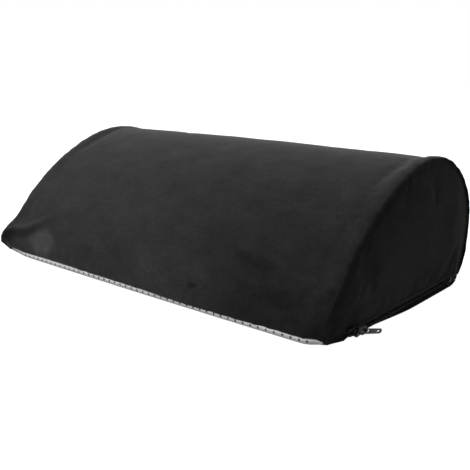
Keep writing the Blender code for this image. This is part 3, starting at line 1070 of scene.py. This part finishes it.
def tape_weave():
    """black tape, woven in a twill"""
    color = (0.013, 0.013, 0.0133)
    finish = Finish("tape_weave", color, 0.9, Specular_IOR_Level=0.12)
    place = finish.coordinates("Object")
    rising = finish.node("TexWave", wave_type="BANDS", bands_direction="DIAGONAL", Scale=420.0)
    finish.link(place, rising.inputs["Vector"])
    ribs = finish.node("TexWave", wave_type="BANDS", bands_direction="Y", Scale=500.0)
    finish.link(place, ribs.inputs["Vector"])
    weave = finish.math("MAXIMUM", rising.outputs["Fac"], ribs.outputs["Fac"])
    finish.tinted(color, finish.ramp(weave, 0.7, 1.5))
    finish.bumped(weave, 0.0002, 0.8)
    return finish.material


def gunmetal(name, color, roughness, roughness_range=0.08):
    """a dark plated metal, worn a little brighter in places"""
    finish = Finish(name, color, roughness, Metallic=0.85)
    place = finish.coordinates("Object")
    worn = finish.noise(place, 300, 4, 0.6)
    finish.tinted(color, finish.ramp(worn, 0.8, 1.25, *noise_range))
    rough = finish.ramp(worn, roughness - roughness_range, roughness + roughness_range, *noise_range)
    finish.link(rough, finish.shader.inputs["Roughness"])
    finish.bumped(finish.noise(place, 2500, 2), 0.00005, 0.4)
    return finish.material


def cast(name, node, body, width, material):
    """a metal piece of the frame with its edges eased"""
    bm = bmesh.new()
    bm.from_mesh(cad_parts[node].data)
    bmesh.ops.remove_doubles(bm, verts=bm.verts, dist=metal_weld)
    bmesh.ops.dissolve_limit(bm, angle_limit=flat_below, verts=bm.verts, edges=bm.edges)
    sharp = [e for e in bm.edges if len(e.link_faces) == 2 and e.calc_face_angle() > eased_above]
    bmesh.ops.bevel(
        bm, geom=sharp, offset=width, offset_type="OFFSET", segments=2, profile=0.5,
        affect="EDGES", clamp_overlap=True, material=-1,
    )
    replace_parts(finished(name, bm, body, material, sharp=50.0), node)


def zip_pieces():
    """the coil, the tapes, the slider, its tab and the stops"""
    nylon_black = nylon()
    coil("coil_upper", "zip_teeth_upper", 1, nylon_black)
    coil("coil_lower", "zip_teeth_lower", -1, nylon_black)
    weave = tape_weave()
    for node in ("zip_tape_upper", "zip_tape_lower"):
        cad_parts[node].data.materials.clear()
        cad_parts[node].data.materials.append(weave)
    blackened = gunmetal("blackened_metal", (0.014, 0.014, 0.0145), 0.5)
    cast("slider", "zip_slider", "slider", slider_ease, blackened)
    cast("pull", "pull_tab", "tab", tab_ease, gunmetal("gunmetal", (0.036, 0.036, 0.037), 0.36))
    for node in ("top_stop_upper", "top_stop_lower", "bottom_stop"):
        cast(node + "_clip", node, "cushion", clip_ease, blackened)


# Floor, light and camera
floor_half = 6.0
floor_level = -0.0004
floor_grey = 0.40
floor_glow = 0.97
key_place = (-0.95, -1.25, 2.0)
key_aim = (0, 0, 0.05)
key_size = 1.3
key_power = 68.0
world_bounced = 0.20
world_seen = 1.0
camera_place = (0.4980, -0.5607, 0.2243)
camera_dip = 14.19
camera_turn = 40.56
camera_sensor = 36.0
camera_lens = 53.2


def seen_directly(nodes, links):
    """1 for the camera's rays and for those that metal or glass sends on, 0 for the rays that light things"""
    path = nodes.new("ShaderNodeLightPath")
    value = path.outputs["Is Camera Ray"]
    for kind in ("Is Glossy Ray", "Is Transmission Ray"):
        either = nodes.new("ShaderNodeMath")
        either.operation = "MAXIMUM"
        links.new(value, either.inputs[0])
        links.new(path.outputs[kind], either.inputs[1])
        value = either.outputs["Value"]
    return value


def floor():
    """a plain floor that looks white to the camera and lights the part as a grey one"""
    bm = bmesh.new()
    level = Matrix.Translation((0, 0, floor_level))
    bmesh.ops.create_grid(bm, x_segments=1, y_segments=1, size=floor_half, matrix=level)
    mesh = bpy.data.meshes.new("floor")
    bm.to_mesh(mesh)
    bm.free()
    finish = Finish("floor", (floor_grey, floor_grey, floor_grey), 1.0, Specular_IOR_Level=0.0)
    seen = seen_directly(finish.nodes, finish.links)
    finish.shader.inputs["Emission Color"].default_value = (1, 1, 1, 1)
    finish.link(finish.ramp(seen, 0.0, floor_glow), finish.shader.inputs["Emission Strength"])
    mesh.materials.append(finish.material)
    obj = bpy.data.objects.new("floor", mesh)
    bpy.context.scene.collection.objects.link(obj)


def lamp(name, place, target, size, power):
    data = bpy.data.lights.new(name, "AREA")
    data.shape = "DISK"
    data.size = size
    data.energy = power
    obj = bpy.data.objects.new(name, data)
    obj.location = place
    obj.rotation_euler = (Vector(target) - Vector(place)).to_track_quat("-Z", "Y").to_euler()
    bpy.context.scene.collection.objects.link(obj)


def studio():
    """one soft lamp from the front left, and a world that looks white and lights dimly"""
    lamp("key", key_place, key_aim, key_size, key_power)
    world = bpy.data.worlds.new("studio")
    bpy.context.scene.world = world
    world.use_nodes = True
    nodes, links = world.node_tree.nodes, world.node_tree.links
    strength = nodes.new("ShaderNodeMapRange")
    strength.inputs["To Min"].default_value = world_bounced
    strength.inputs["To Max"].default_value = world_seen
    links.new(seen_directly(nodes, links), strength.inputs["Value"])
    nodes["Background"].inputs["Color"].default_value = (1, 1, 1, 1)
    links.new(strength.outputs["Result"], nodes["Background"].inputs["Strength"])


def camera():
    """where the photo's outline says that its camera stood, held level"""
    data = bpy.data.cameras.new("camera")
    data.sensor_width = camera_sensor
    data.lens = camera_lens
    obj = bpy.data.objects.new("camera", data)
    obj.location = camera_place
    obj.rotation_euler = (math.radians(90 - camera_dip), 0, math.radians(camera_turn))
    bpy.context.scene.collection.objects.link(obj)
    bpy.context.scene.camera = obj


# The scene, piece by piece
bpy.context.scene.view_settings.view_transform = "Standard"
camera()
studio()
floor()
velour_black = velour()
foam_block()
top_panel()
end_panel("velour_end_left", "left_end_panel", -1)
end_panel("velour_end_right", "right_end_panel", 1)
base_panel()
grip_dots()
tape_lip()
zip_pieces()
